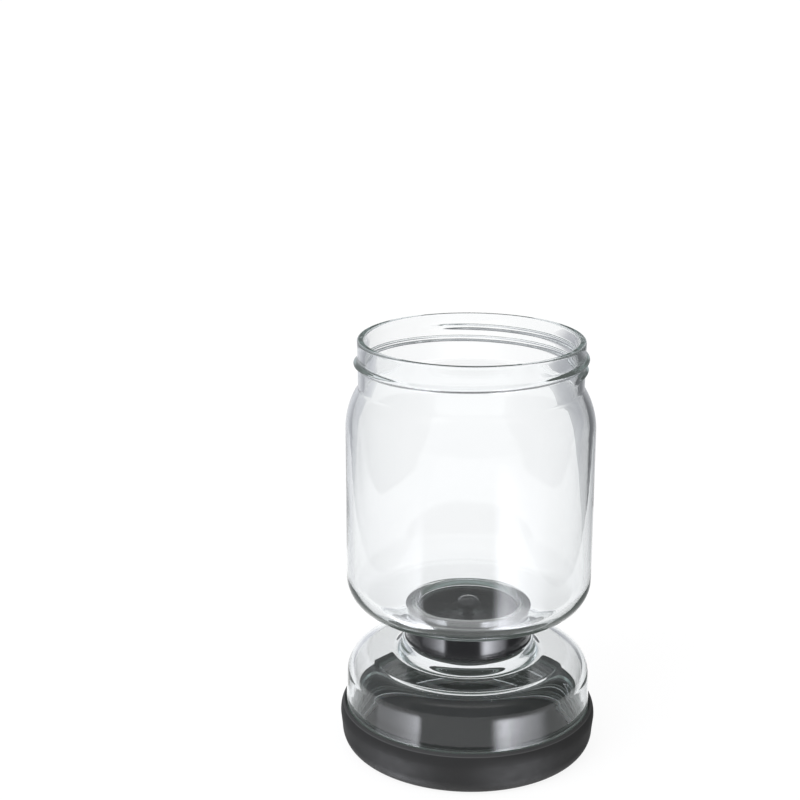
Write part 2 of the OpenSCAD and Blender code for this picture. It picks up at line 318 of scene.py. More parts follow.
def smooth_copy(node: str, name: str, corner: float) -> bpy.types.Object:
    """Copies a CAD node, joins its loose triangles and shades it smooth up to a corner angle.

    Args:
        node: the CAD node to copy.
        name: the new piece's name.
        corner: faces that meet at more than this angle, in degrees, keep a sharp edge.

    Returns:
        The new object.
    """
    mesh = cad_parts[node].data
    co = np.empty(len(mesh.vertices) * 3)
    mesh.vertices.foreach_get("co", co)
    co = co.reshape(-1, 3)
    tri = np.empty(len(mesh.loops), np.int64)
    mesh.loops.foreach_get("vertex_index", tri)
    grid = np.round(co * WELD).astype(np.int64)
    _, first, back = np.unique(grid, axis=0, return_index=True, return_inverse=True)
    tri = back.ravel()[tri].reshape(-1, 3)
    tri = tri[(tri[:, 0] != tri[:, 1]) & (tri[:, 1] != tri[:, 2]) & (tri[:, 2] != tri[:, 0])]
    piece = mesh_piece(name, co[first] / MM, [tri])
    piece.data.set_sharp_from_angle(angle=math.radians(corner))
    return piece


# -------- finishes


@dataclass(frozen=True)
class Grain:
    """A layer of bump from a noise: sizes in millimetres, and the noise's octaves and their fall."""

    size: float
    depth: float
    strength: float
    detail: float = 3.0
    rough: float = 0.5


class Nodes:
    """A short way to write a material's node tree."""

    def __init__(self, name: str) -> None:
        """Makes a material with a Principled shader on its output.

        Args:
            name: the material's name.
        """
        self.material = bpy.data.materials.new(name)
        self.material.use_nodes = True
        self.tree = self.material.node_tree
        self.shader = self.tree.nodes["Principled BSDF"]
        self.output = self.tree.nodes["Material Output"]

    def add(self, kind: str, **values: object) -> bpy.types.Node:
        """Adds a node, with its sockets set or linked by name.

        Args:
            kind: the node's type.
            values: a socket's name with underscores for spaces, and a value or a socket to link from.
                A name that is a property of the node is set as that.

        Returns:
            The new node.
        """
        node = self.tree.nodes.new(kind)
        for key, value in values.items():
            if hasattr(node, key) and not isinstance(value, bpy.types.NodeSocket):
                setattr(node, key, value)
                continue
            socket = node.inputs[key.replace("_", " ")]
            if isinstance(value, bpy.types.NodeSocket):
                self.tree.links.new(value, socket)
            else:
                socket.default_value = value
        return node

    def link(self, source: bpy.types.NodeSocket, target: bpy.types.NodeSocket) -> None:
        """Links two sockets."""
        self.tree.links.new(source, target)

    def set(self, **values: float | tuple[float, ...]) -> None:
        """Sets constants on the Principled shader's own sockets."""
        for key, value in values.items():
            self.shader.inputs[key.replace("_", " ")].default_value = value

    def noise(self, grain: float, detail: float = 3.0, rough: float = 0.5) -> bpy.types.NodeSocket:
        """A noise on Object coordinates.

        Args:
            grain: size of one grain, in millimetres.
            detail: octaves.
            rough: share kept by each octave.

        Returns:
            The noise's factor.
        """
        where = self.add("ShaderNodeTexCoord").outputs["Object"]
        scale = 1.0 / MM / grain
        node = self.add("ShaderNodeTexNoise", Vector=where, Scale=scale, Detail=detail, Roughness=rough)
        return node.outputs["Fac"]

    def ranged(
        self,
        value: bpy.types.NodeSocket,
        start: tuple[float, float],
        end: tuple[float, float],
        smooth: bool = False,
    ) -> bpy.types.NodeSocket:
        """Maps a value from one range to another, and holds it at the range's ends.

        Args:
            value: the value.
            start: the range that it comes from.
            end: the range that it goes to.
            smooth: whether it eases in and out.

        Returns:
            The mapped value.
        """
        node = self.add("ShaderNodeMapRange", Value=value, From_Min=start[0], From_Max=start[1])
        node.inputs["To Min"].default_value, node.inputs["To Max"].default_value = end
        if smooth:
            node.interpolation_type = "SMOOTHSTEP"
        return node.outputs["Result"]

    def spread(self, factor: bpy.types.NodeSocket, low: float, high: float) -> bpy.types.NodeSocket:
        """Maps a noise's middle range to a range of values."""
        return self.ranged(factor, MIDDLE, (low, high))

    def product(self, first: bpy.types.NodeSocket, second: bpy.types.NodeSocket) -> bpy.types.NodeSocket:
        """The product of two values.

        Args:
            first: one value.
            second: the other value.

        Returns:
            The product.
        """
        node = self.add("ShaderNodeMath", operation="MULTIPLY")
        self.link(first, node.inputs[0])
        self.link(second, node.inputs[1])
        return node.outputs[0]

    def blend(
        self, factor: bpy.types.NodeSocket, low: tuple[float, ...], high: tuple[float, ...]
    ) -> bpy.types.NodeSocket:
        """A colour that goes from one to another over a noise's middle range.

        Args:
            factor: the noise.
            low: red, green and blue at the range's low end.
            high: red, green and blue at its high end.

        Returns:
            The colour.
        """
        ramp = self.add("ShaderNodeValToRGB", Fac=factor)
        for element, position, colour in zip(ramp.color_ramp.elements, MIDDLE, (low, high)):
            element.position = position
            element.color = (*colour, 1.0)
        return ramp.outputs["Color"]

    def bump(self, *layers: Grain) -> None:
        """Puts layers of bump on the shader's normal, each on top of the one before.

        Args:
            layers: the layers.
        """
        normal = None
        for layer in layers:
            height = self.noise(layer.size, layer.detail, layer.rough)
            node = self.add(
                "ShaderNodeBump", Height=height, Strength=layer.strength, Distance=layer.depth * MM
            )
            if normal:
                self.link(normal, node.inputs["Normal"])
            normal = node.outputs["Normal"]
        self.link(normal, self.shader.inputs["Normal"])


@dataclass(frozen=True)
class ClearGlass:
    """Polished soda glass. It drinks light as blue-grey, and a long way through it ends in a painted
    grey glow: the glass's volume emits a light of its own, though it is no lamp."""

    name: str = "clear_glass"
    ior: float = 1.5
    drink: tuple[float, float, float] = (7.8, 5.6, 4.3)
    spare: float = 1.25
    haze: tuple[float, float, float] = (2.9, 3.3, 3.0)
    swell: Grain = Grain(size=38.0, depth=1.2, strength=0.12, detail=1.0)
    ripple: Grain = Grain(size=9.0, depth=0.3, strength=0.036, detail=1.0)

    def make(self) -> bpy.types.Material:
        """Builds the material: colour 1 - drink / density at a density above the largest drink.

        Returns:
            The material.
        """
        n = Nodes(self.name)
        n.set(Base_Color=(1.0, 1.0, 1.0, 1.0), Roughness=0.0, IOR=self.ior, Transmission_Weight=1.0)
        n.bump(self.swell, self.ripple)
        density = max(self.drink) * self.spare
        tint = [1.0 - d / density for d in self.drink]
        loss = n.add("ShaderNodeVolumeAbsorption", Color=(*tint, 1.0), Density=density)
        # painted glow: a grey emission in the glass's volume, more light the longer the path through it
        gain = n.add("ShaderNodeEmission", Color=(*self.haze, 1.0), Strength=1.0)
        body = n.add("ShaderNodeAddShader")
        n.link(loss.outputs["Volume"], body.inputs[0])
        n.link(gain.outputs["Emission"], body.inputs[1])
        n.link(body.outputs["Shader"], n.output.inputs["Volume"])
        return n.material


@dataclass(frozen=True)
class MattePlastic:
    """Moulded plastic with a fine even texture, and a painted highlight: a lighter line along the edge of
    its rim.
    """

    name: str = "matte_grey_plastic"
    dark: tuple[float, float, float] = (0.019, 0.019, 0.019)
    light: tuple[float, float, float] = (0.023, 0.023, 0.023)
    cloud: float = 22.0
    rough: tuple[float, float] = (0.56, 0.62)
    patch: float = 6.0
    texture: Grain = Grain(size=0.32, depth=0.02, strength=0.35, detail=2.0, rough=0.6)
    swell: Grain = Grain(size=14.0, depth=0.05, strength=0.2, detail=2.0)
    edge_z: float = 20.2
    edge_w: float = 0.30
    bevel: float = 0.35
    rubbed: tuple[float, float, float] = (0.065, 0.065, 0.065)

    def edge(self, n: Nodes) -> bpy.types.NodeSocket:
        """How much painted highlight a place gets: 0 below the rim's edge, 1 at it, and a share of that on
        the bevel.

        Args:
            n: the material's nodes.

        Returns:
            The share.
        """
        axes = n.add("ShaderNodeSeparateXYZ", Vector=n.add("ShaderNodeTexCoord").outputs["Object"])
        low, edge, high = ((self.edge_z + way * self.edge_w) * MM for way in (-1.0, 0.0, 1.0))
        under = n.ranged(axes.outputs["Z"], (low, edge), (0.0, 1.0), smooth=True)
        over = n.ranged(axes.outputs["Z"], (edge, high), (1.0, self.bevel), smooth=True)
        return n.product(under, over)

    def make(self) -> bpy.types.Material:
        """Builds the material.

        Returns:
            The material.
        """
        n = Nodes(self.name)
        plain = n.blend(n.noise(self.cloud), self.dark, self.light)
        # painted highlight: the rim's edge is coloured lighter, as a shine along it would look
        mix = n.add("ShaderNodeMixRGB", Fac=self.edge(n), Color1=plain, Color2=(*self.rubbed, 1.0))
        n.link(mix.outputs["Color"], n.shader.inputs["Base Color"])
        n.link(n.spread(n.noise(self.patch), *self.rough), n.shader.inputs["Roughness"])
        n.set(IOR=1.46, Specular_IOR_Level=0.35)
        n.bump(self.texture, self.swell)
        return n.material


@dataclass(frozen=True)
class GlossPlastic:
    """Glossy moulded plastic, with faint flow marks and hairline rubs in the gloss."""

    name: str = "gloss_black_plastic"
    dark: tuple[float, float, float] = (0.008, 0.008, 0.009)
    light: tuple[float, float, float] = (0.0108, 0.0108, 0.01215)
    cloud: float = 12.0
    rough: tuple[float, float] = (0.13, 0.20)
    patch: float = 3.0
    flow: Grain = Grain(size=18.0, depth=0.06, strength=0.25, detail=1.0)
    hair: Grain = Grain(size=0.5, depth=0.006, strength=0.05, detail=2.0)

    def make(self) -> bpy.types.Material:
        """Builds the material.

        Returns:
            The material.
        """
        n = Nodes(self.name)
        n.link(n.blend(n.noise(self.cloud), self.dark, self.light), n.shader.inputs["Base Color"])
        n.link(n.spread(n.noise(self.patch, detail=4.0), *self.rough), n.shader.inputs["Roughness"])
        n.set(IOR=1.46, Specular_IOR_Level=0.5, Coat_Weight=0.45, Coat_Roughness=0.06)
        n.bump(self.flow, self.hair)
        return n.material


@dataclass(frozen=True)
class Silicone:
    """Soft translucent grey silicone with a dull skin."""

    name: str = "grey_silicone"
    dark: tuple[float, float, float] = (0.42, 0.43, 0.43)
    light: tuple[float, float, float] = (0.52, 0.53, 0.53)
    cloud: float = 8.0
    rough: tuple[float, float] = (0.38, 0.5)
    patch: float = 2.0
    skin: Grain = Grain(size=0.6, depth=0.015, strength=0.2)

    def make(self) -> bpy.types.Material:
        """Builds the material.

        Returns:
            The material.
        """
        n = Nodes(self.name)
        n.link(n.blend(n.noise(self.cloud), self.dark, self.light), n.shader.inputs["Base Color"])
        n.link(n.spread(n.noise(self.patch), *self.rough), n.shader.inputs["Roughness"])
        n.set(IOR=1.41, Subsurface_Weight=0.25, Subsurface_Scale=0.002)
        n.bump(self.skin)
        return n.material


@dataclass
class Palette:
    """The finishes, each made once."""

    finishes: dict[Slot, bpy.types.Material]

    @classmethod
    def mixed(cls) -> "Palette":
        """Makes every finish.

        Returns:
            The palette.
        """
        makers = {
            Slot.GLASS: ClearGlass(),
            Slot.CAP: MattePlastic(),
            Slot.COLLAR: GlossPlastic(),
            Slot.SILICONE: Silicone(),
        }
        return cls({slot: maker.make() for slot, maker in makers.items()})

    def of(self, slot: Slot) -> bpy.types.Material:
        """The finish of a material slot."""
        return self.finishes[slot]


def place(piece: bpy.types.Object, node: str, body: str, slot: Slot, palette: Palette) -> bpy.types.Object:
    """Gives a piece its finish, lets it stand for a CAD node and ride on a body, and reports it.

    Args:
        piece: the finished mesh object.
        node: the CAD node that it replaces.
        body: the body that it rides on.
        slot: its material slot.
        palette: the finishes.

    Returns:
        The same piece.
    """
    piece.data.materials.append(palette.of(slot))
    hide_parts(node)
    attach(piece, body)
    log.info("%s: %d faces, on %s", piece.name, len(piece.data.polygons), body)
    return piece


# -------- the keeper


@dataclass(frozen=True)
class Waist:
    """Sizes that the collar shares with the two glass necks."""

    neck_r: float = 27.5
    bore_r: float = 24.7
    collar_bore_r: float = 29.1
    collar_r: float = 31.1
    low_rim_z: float = 61.0
    high_rim_z: float = 64.6
    low_thread_z: float = 56.05
    high_thread_z: float = 65.65
    thread: Thread = Thread(depth=1.3, width=1.875, pitch=3.6, turns=0.85, flat=0.25)
    nut_back: float = 110.0
    rise: float = 1.416
    skin: float = 0.1

    def on_neck(self, r: np.ndarray) -> np.ndarray:
        """Which radii lie on the outside of a neck, or beyond it."""
        return r > self.neck_r - self.skin

    def screw(self, foot: float) -> Thread:
        """The thread of a neck, from the height at which it starts."""
        return replace(self.thread, foot=foot)

    def nut(self, foot: float, way: float) -> Thread:
        """The collar's thread for a neck's thread.

        Args:
            foot: height at which the neck's thread starts.
            way: 1 where the collar's ridge lies above the neck's, and -1 where it lies below it.

        Returns:
            The thread.
        """
        lift = way * (self.rise - self.thread.pitch * self.nut_back / 360.0)
        return replace(self.thread, start=-way * self.nut_back, foot=foot + lift, side=Side.NUT)


@dataclass(frozen=True)
class Rim:
    """Sizes that the base cap shares with the reservoir's threaded rim."""

    rim_z: float = 4.2
    rim_r: float = 57.6
    thread: Thread = Thread(depth=1.8, width=3.2, pitch=6.0, turns=1.2, foot=6.6, flat=0.2)
    nut_turns: float = 1.25
    nut_back: float = 150.0
    rise: float = 2.1353333333333

    def nut(self) -> Thread:
        """The cap's thread, which starts a part turn behind the rim's and lies above it.

        Returns:
            The thread.
        """
        foot = self.thread.foot + self.rise - self.thread.pitch * self.nut_back / 360.0
        return replace(self.thread, turns=self.nut_turns, start=-self.nut_back, foot=foot, side=Side.NUT)


@dataclass
class Jar:
    """The upper glass jar: threaded mouth, rounded shoulder, heavy rounded heel, neck below."""

    palette: Palette
    waist: Waist
    body_r: float = 60.0
    wall: float = 3.0
    heel_r: float = 15.0
    heel_z: float = 87.659
    fall: float = 8.0
    floor_extra: float = 1.0
    fillet_r: float = 2.4
    shoulder_r: float = 36.0
    shoulder_z: float = 163.159
    nape_r: float = 2.0
    mouth_r: float = 53.9
    mouth_wall: float = 3.3
    lip_z: float = 206.807
    lip_round: float = 1.1
    lip_flare: float = 0.3
    thread: Thread = Thread(depth=1.9, width=4.0, pitch=5.9, turns=1.44, start=-34.0, ease=40.0)
    thread_drop: float = 6.8
    foot_z: float = 70.6
    foot_over: float = 0.1
    foot_round: float = 0.6
    edge: float = 0.8
    waves: Waves = Waves(0.022, 4)
    waves_over: float = 6.0
    waves_fade: float = 20.0
    columns: int = 360

    def bend(self, r: float, big: float, small: float) -> tuple[float, float]:
        """Where the shoulder's curve meets the hollow under the mouth.

        Args:
            r: radius of the mouth's wall.
            big: radius of the shoulder's curve.
            small: radius of the hollow.

        Returns:
            The angle of the meeting point, in degrees, and the height of the hollow's centre.
        """
        turn = math.acos((r + small - (self.body_r - self.shoulder_r)) / (big + small))
        return math.degrees(turn), self.shoulder_z + (big + small) * math.sin(turn)

    def line(self) -> np.ndarray:
        """The jar's closed half outline, from the neck's bore out, up, over the lip and down inside.

        Returns:
            An array of rows (radius, height).
        """
        w, e, d, f, lip = self.waist, self.edge, self.foot_round, self.fillet_r, self.lip_round
        rim_z, wall_r, lip_r = w.high_rim_z, self.body_r - self.wall, self.mouth_r + self.lip_flare
        fall = math.radians(self.fall)
        sin, cos, tan = math.sin(fall), math.cos(fall), math.tan(fall)
        heel_c = self.body_r - self.heel_r
        in_heel, in_z = self.heel_r - self.wall, self.heel_z + self.floor_extra
        bore = self.mouth_r - self.mouth_wall
        shoulder_c = self.body_r - self.shoulder_r
        in_shoulder, in_nape = self.shoulder_r - self.wall, self.nape_r + self.wall
        turn, nape_z = self.bend(self.mouth_r, self.shoulder_r, self.nape_r)
        in_turn, in_nape_z = self.bend(bore, in_shoulder, in_nape)
        floor_z = in_z - in_heel * cos - (heel_c + in_heel * sin - w.bore_r) * tan
        return outline(
            arc(w.bore_r + e, rim_z + e, e, e, 180, 270, 4),
            arc(w.neck_r - e, rim_z + e, e, e, -90, 0, 4),
            run(w.neck_r, rim_z + e, w.neck_r, self.foot_z - e, NECK_STEP),
            arc(w.neck_r + e, self.foot_z - e, e, e, 180, 90, 4),
            arc(w.collar_r + self.foot_over, self.foot_z + d, d, d, -90, self.fall - 90, 2),
            arc(heel_c, self.heel_z, self.heel_r, self.heel_r, self.fall - 90, 0, 18),
            run(self.body_r, self.heel_z, self.body_r, self.shoulder_z, 14.0),
            arc(shoulder_c, self.shoulder_z, self.shoulder_r, self.shoulder_r, 0, turn, 14),
            arc(self.mouth_r + self.nape_r, nape_z, self.nape_r, self.nape_r, 180 + turn, 180, 6),
            run(self.mouth_r, nape_z, lip_r, self.lip_z - lip, 0.36),
            arc(lip_r - lip, self.lip_z - lip, lip, lip, 0, 90, 7),
            arc(bore + lip, self.lip_z - lip, lip, lip, 90, 180, 7),
            run(bore, self.lip_z - lip, bore, in_nape_z, 5.0),
            arc(bore + in_nape, in_nape_z, in_nape, in_nape, 180, 180 + in_turn, 6),
            arc(shoulder_c, self.shoulder_z, in_shoulder, in_shoulder, in_turn, 0, 14),
            run(wall_r, self.shoulder_z, wall_r, in_z, 9.0),
            arc(heel_c, in_z, in_heel, in_heel, 0, self.fall - 90, 18),
            arc(w.bore_r + f, floor_z - f / cos + f * tan, f, f, 90 + self.fall, 180, 8),
        )

    def relief(self, t: np.ndarray, r: np.ndarray, z: np.ndarray) -> np.ndarray:
        """The mouth's thread and the neck's thread on the outside, and slow waves on the inside.

        Args:
            t: angles, in degrees.
            r: radii.
            z: heights.

        Returns:
            The height to add to the radius.
        """
        foot = self.lip_z - self.thread_drop - self.thread.pitch * self.thread.turns
        mouth, neck = replace(self.thread, foot=foot), self.waist.screw(self.waist.high_thread_z)
        inside = r < self.body_r - self.wall / 2
        slow = between(z, self.heel_z, self.shoulder_z + self.waves_over, self.waves_fade)
        return (
            mouth.relief(t, r, z) * (r > self.mouth_r - self.mouth_wall / 2)
            + neck.relief(t, r, z) * self.waist.on_neck(r)
            + self.waves.relief(t, r, z) * inside * slow
        )

    def build(self) -> bpy.types.Object:
        """Builds and dresses the jar."""
        piece = turned("glass_jar", self.line(), self.columns, self.relief)
        return place(piece, "jar", "jar", Slot.GLASS, self.palette)


@dataclass
class Reservoir:
    """The lower glass reservoir: threaded rim in the cap, broad shoulder, bead and neck."""

    palette: Palette
    waist: Waist
    rim: Rim
    side_r: float = 60.8
    draft_r: float = 60.2
    top_r: float = 60.0
    wall: float = 3.2
    wall_top_z: float = 17.0
    step_round: float = 1.0
    heel_round: float = 1.4
    heel_z: float = 19.6
    side_z: float = 20.2
    cap_z: float = 21.5
    draft_h: float = 8.0
    shoulder_r: float = 11.5
    top_z: float = 48.0
    bead_r: float = 32.7
    bead_z: float = 52.4
    bead_top_z: float = 54.5
    bead_round: float = 1.0
    sweep_w: float = 6.0
    sweep_rise: float = 0.4
    throat: float = 8.0
    in_step_r: float = 6.0
    in_step_z: float = 16.6
    edge: float = 0.8
    waves: Waves = Waves(0.025, 9)
    waves_z: tuple[float, float] = (22.0, 36.0)
    waves_fade: float = 5.0
    columns: int = 360

    def line(self) -> np.ndarray:
        """The reservoir's closed half outline, from the rim out, up to the neck and down inside.

        Returns:
            An array of rows (radius, height).
        """
        w, e, g, h = self.waist, self.edge, self.step_round, self.heel_round
        rim_r, rim_z, neck_z = self.rim.rim_r, self.rim.rim_z, w.low_rim_z
        bore = rim_r - self.wall
        c, cz = self.top_r - self.shoulder_r, self.top_z - self.shoulder_r
        inner = self.shoulder_r - self.wall
        ceiling, draft_z = self.top_z - self.wall, self.cap_z + self.draft_h
        sweep_h = self.bead_z - self.top_z - self.sweep_rise
        bead_c, b = self.bead_r - self.bead_round, self.bead_round
        return outline(
            arc(bore + e, rim_z + e, e, e, 180, 270, 4),
            arc(rim_r - e, rim_z + e, e, e, -90, 0, 4),
            run(rim_r, rim_z + e, rim_r, self.wall_top_z, 0.4),
            arc(rim_r + g, self.wall_top_z, g, g, 180, 110, 4),
            arc(self.side_r - h, self.heel_z, h, h, -60, 0, 5),
            run(self.side_r, self.side_z, self.side_r, self.cap_z, 1.5),
            run(self.side_r, self.cap_z, self.draft_r, draft_z, 2.0),
            arc(c, cz, self.shoulder_r, self.shoulder_r, 0, 90, 20),
            arc(self.bead_r + self.sweep_w, self.bead_z, self.sweep_w, sweep_h, 270, 180, 12),
            arc(bead_c, self.bead_top_z - b, b, b, 0, 90, 6),
            run(bead_c, self.bead_top_z, w.neck_r, self.bead_top_z, 2.0),
            run(w.neck_r, self.bead_top_z, w.neck_r, neck_z - e, NECK_STEP),
            arc(w.neck_r - e, neck_z - e, e, e, 0, 90, 4),
            arc(w.bore_r + e, neck_z - e, e, e, 90, 180, 4),
            arc(w.bore_r + self.throat, ceiling + self.throat, self.throat, self.throat, 180, 270, 12),
            arc(c, cz, inner, inner, 90, 0, 18),
            run(self.top_r - self.wall, draft_z, self.side_r - self.wall, self.cap_z, 3.0),
            arc(bore + self.in_step_r, self.in_step_z, self.in_step_r, self.in_step_r, 150, 180, 5),
        )

    def relief(self, t: np.ndarray, r: np.ndarray, z: np.ndarray) -> np.ndarray:
        """The rim's thread and the neck's thread on the outside, and slow waves on the inside.

        Args:
            t: angles, in degrees.
            r: radii.
            z: heights.

        Returns:
            The height to add to the radius.
        """
        inside = r < self.top_r - self.wall / 2
        slow = between(z, *self.waves_z, self.waves_fade)
        neck = self.waist.screw(self.waist.low_thread_z)
        return (
            self.rim.thread.relief(t, r, z) * (np.abs(r - self.rim.rim_r) < ON_WALL)
            + neck.relief(t, r, z) * self.waist.on_neck(r)
            + self.waves.relief(t, r, z) * inside * slow
        )

    def build(self) -> bpy.types.Object:
        """Builds and dresses the reservoir."""
        piece = turned("glass_reservoir", self.line(), self.columns, self.relief)
        return place(piece, "reservoir", "reservoir", Slot.GLASS, self.palette)


@dataclass
class Coupling:
    """The collar, its two flat seals, and the strainer with its ribbed seal."""

    palette: Palette
    waist: Waist
    foot_z: float = 54.8
    top_z: float = 70.3
    bead: float = 0.4
    bead_h: float = 1.4
    bead_out: float = 0.5
    bead_in: float = 0.2
    wall_in: float = 2.0
    ledge_z: float = 62.0
    ledge_top_z: float = 63.6
    ledge_r: float = 22.0
    ledge_edge: float = 0.4
    edge: float = 0.5
    small_edge: float = 0.3
    seal_in: float = 0.3
    band_r: float = 24.1
    band_w: float = 0.8
    band_rows: int = 33
    crease: float = 32.0
    columns: int = 288

    def collar(self) -> bpy.types.Object:
        """The collar: a wall with a bead at each edge, a ledge inside, and a thread on each side of it.

        Returns:
            The new object.
        """
        w, e, s, k = self.waist, self.edge, self.small_edge, self.ledge_edge
        bore, out = w.collar_bore_r, w.collar_r + self.bead
        low_bead_z, high_bead_z = self.foot_z + self.bead_h, self.top_z - self.bead_h
        line = outline(
            arc(self.ledge_r + k, self.ledge_z + k, k, k, 180, 270, 3),
            run(bore, self.ledge_z, bore, self.foot_z + s, NECK_STEP),
            arc(bore + s, self.foot_z + s, s, s, 180, 270, 3),
            arc(out - e, self.foot_z + e, e, e, -90, 0, 6),
            arc(out - s, low_bead_z - self.bead_out, s, s, 0, 60, 3),
            arc(w.collar_r + s, low_bead_z + self.bead_in, s, s, 240, 180, 3),
            run(w.collar_r, self.foot_z + self.wall_in, w.collar_r, self.top_z - self.wall_in, 2.0),
            arc(w.collar_r + s, high_bead_z - self.bead_in, s, s, 180, 120, 3),
            arc(out - s, high_bead_z + self.bead_out, s, s, -60, 0, 3),
            arc(out - e, self.top_z - e, e, e, 0, 90, 6),
            arc(bore + s, self.top_z - s, s, s, 90, 180, 3),
            run(bore, self.top_z - s, bore, self.ledge_top_z, NECK_STEP),
            arc(self.ledge_r + k, self.ledge_top_z - k, k, k, 90, 180, 3),
        )
        low, high = w.nut(w.low_thread_z, -1.0), w.nut(w.high_thread_z, 1.0)

        def relief(t: np.ndarray, r: np.ndarray, z: np.ndarray) -> np.ndarray:
            """Both threads, on the bore only."""
            return (low.relief(t, r, z) + high.relief(t, r, z)) * (np.abs(r - bore) < ON_WALL)

        piece = turned("waist_collar", line, self.columns, relief)
        return place(piece, "collar", "collar", Slot.COLLAR, self.palette)

    def flat_seal(self, name: str, node: str, low: float, high: float) -> bpy.types.Object:
        """A flat ring seal against one side of the ledge.

        Args:
            name: the piece's name.
            node: the CAD node that it replaces, and the body that it rides on.
            low: height of its lower face.
            high: height of its upper face.

        Returns:
            The new object.
        """
        w = self.waist
        piece = flat_ring(name, w.bore_r + self.seal_in, w.neck_r, low, high, self.small_edge)
        return place(piece, node, node, Slot.SILICONE, self.palette)

    def strainer(self) -> bpy.types.Object:
        """The perforated strainer with its knob."""
        piece = smooth_copy("strainer", "lift_strainer", self.crease)
        return place(piece, "strainer", "strainer", Slot.COLLAR, self.palette)

    def strainer_seal(self) -> bpy.types.Object:
        """The strainer's seal: two round ribs on a band, as a raised cosine over the band's height.

        Returns:
            The new object.
        """
        low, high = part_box("strainer_seal")
        z0, z1, rib, band = low.z / MM, high.z / MM, high.x / MM, self.band_r
        z = np.linspace(z0, z1, self.band_rows)
        wave = 0.5 - 0.5 * np.cos(4 * np.pi * (z - z0) / (z1 - z0))
        line = outline(
            np.column_stack([band + (rib - band) * wave, z]),
            np.array([[band - self.band_w, z1], [band - self.band_w, z0]]),
        )
        piece = turned("strainer_seal_ring", line, 192)
        return place(piece, "strainer_seal", "strainer", Slot.SILICONE, self.palette)

    def build(self) -> None:
        """Builds and dresses every piece at the waist."""
        self.collar()
        self.flat_seal("lower_neck_seal", "collar_seal", self.waist.low_rim_z, self.ledge_z)
        self.flat_seal("upper_neck_seal", "jar_seal", self.ledge_top_z, self.waist.high_rim_z)
        self.strainer()
        self.strainer_seal()


@dataclass
class Base:
    """The base cap with its bevelled rim, and the flat seal in its floor."""

    palette: Palette
    rim: Rim
    height: float = 21.5
    wide_r: float = 63.5
    wide_z: float = 15.0
    tuck: float = 0.9
    tuck_turn: float = 45.0
    tuck_short: float = 1.5
    foot_r: float = 62.7
    foot_w: float = 5.4
    foot_h: float = 7.7
    land_w: float = 7.0
    recess: float = 0.8
    gate_r: float = 3.0
    gate_h: float = 0.5
    flat_r: float = 4.4
    bevel_h: float = 1.7
    bevel_out: tuple[float, float] = (0.08, 0.12)
    bevel_in: tuple[float, float] = (0.56, 0.15)
    skirt_bore: float = 61.1
    thread_wall: float = 60.0
    step_z: float = 17.5
    floor_z: float = 2.4
    edge: float = 0.3
    seal_r: float = 53.6
    seal_edge: float = 0.4
    columns: int = 288

    def line(self) -> np.ndarray:
        """The cap's half outline, from the middle of the underside out, up, over the rim and down inside.

        Returns:
            An array of rows (radius, height).
        """
        e, half = self.edge, self.recess / 2
        top, floor_z, bore, wall = self.height, self.floor_z, self.skirt_bore, self.thread_wall
        land = self.foot_r - self.foot_w
        recess_r, gate_z = land - self.land_w, self.recess + self.gate_h / 2
        turn = math.radians(self.tuck_turn)
        tuck_w = self.tuck / (1 - math.cos(turn))
        tuck_h = (top - self.bevel_h - self.wide_z) / math.sin(turn)
        tuck_r, tuck_z = self.wide_r - self.tuck - self.bevel_out[0], top - self.bevel_h + self.bevel_out[1]
        return outline(
            np.array([[0.0, self.recess + self.gate_h]]),
            arc(self.gate_r - half, gate_z, half, self.gate_h / 2, 90, 0, 3),
            arc(self.gate_r + half, gate_z, half, self.gate_h / 2, 180, 270, 3),
            run(self.flat_r, self.recess, recess_r - half, self.recess, 12.0),
            arc(recess_r - half, half, half, half, 90, 0, 4),
            arc(recess_r + half, half, half, half, 180, 270, 4),
            arc(land, self.foot_h, self.foot_w, self.foot_h, -90, 0, 20),
            run(self.foot_r, self.foot_h, self.wide_r, self.wide_z, 3.0),
            arc(self.wide_r - tuck_w, self.wide_z, tuck_w, tuck_h, 0, self.tuck_turn - self.tuck_short, 16),
            run(tuck_r, tuck_z, bore + self.bevel_in[0], top - self.bevel_in[1], 1.0),
            arc(bore + e, top - e, e, e, 33, 180, 8),
            run(bore, top - e, bore, self.step_z + e, 2.0),
            run(wall, self.step_z - e, wall, floor_z + e, 0.4),
            arc(wall - e, floor_z + e, e, e, 0, -90, 3),
            run(wall - e, floor_z, 0.0, floor_z, 6.0),
        )

    def cap(self) -> bpy.types.Object:
        """The cap: a ring foot with a shallow recess, a bowed side, a bevelled rim and a thread inside.

        Returns:
            The new object.
        """
        nut = self.rim.nut()

        def relief(t: np.ndarray, r: np.ndarray, z: np.ndarray) -> np.ndarray:
            """The thread, on the bore only."""
            return nut.relief(t, r, z) * (np.abs(r - self.thread_wall) < ON_WALL)

        piece = turned("screw_base_cap", self.line(), self.columns, relief)
        return place(piece, "base_cap", "base", Slot.CAP, self.palette)

    def seal(self) -> bpy.types.Object:
        """The flat seal in the cap's floor.

        Returns:
            The new object.
        """
        rim = self.rim
        piece = flat_ring("cap_floor_seal", self.seal_r, rim.rim_r, self.floor_z, rim.rim_z, self.seal_edge)
        return place(piece, "cap_seal", "cap_seal", Slot.SILICONE, self.palette)

    def build(self) -> None:
        """Builds and dresses the base."""
        self.cap()
        self.seal()


# -------- the studio


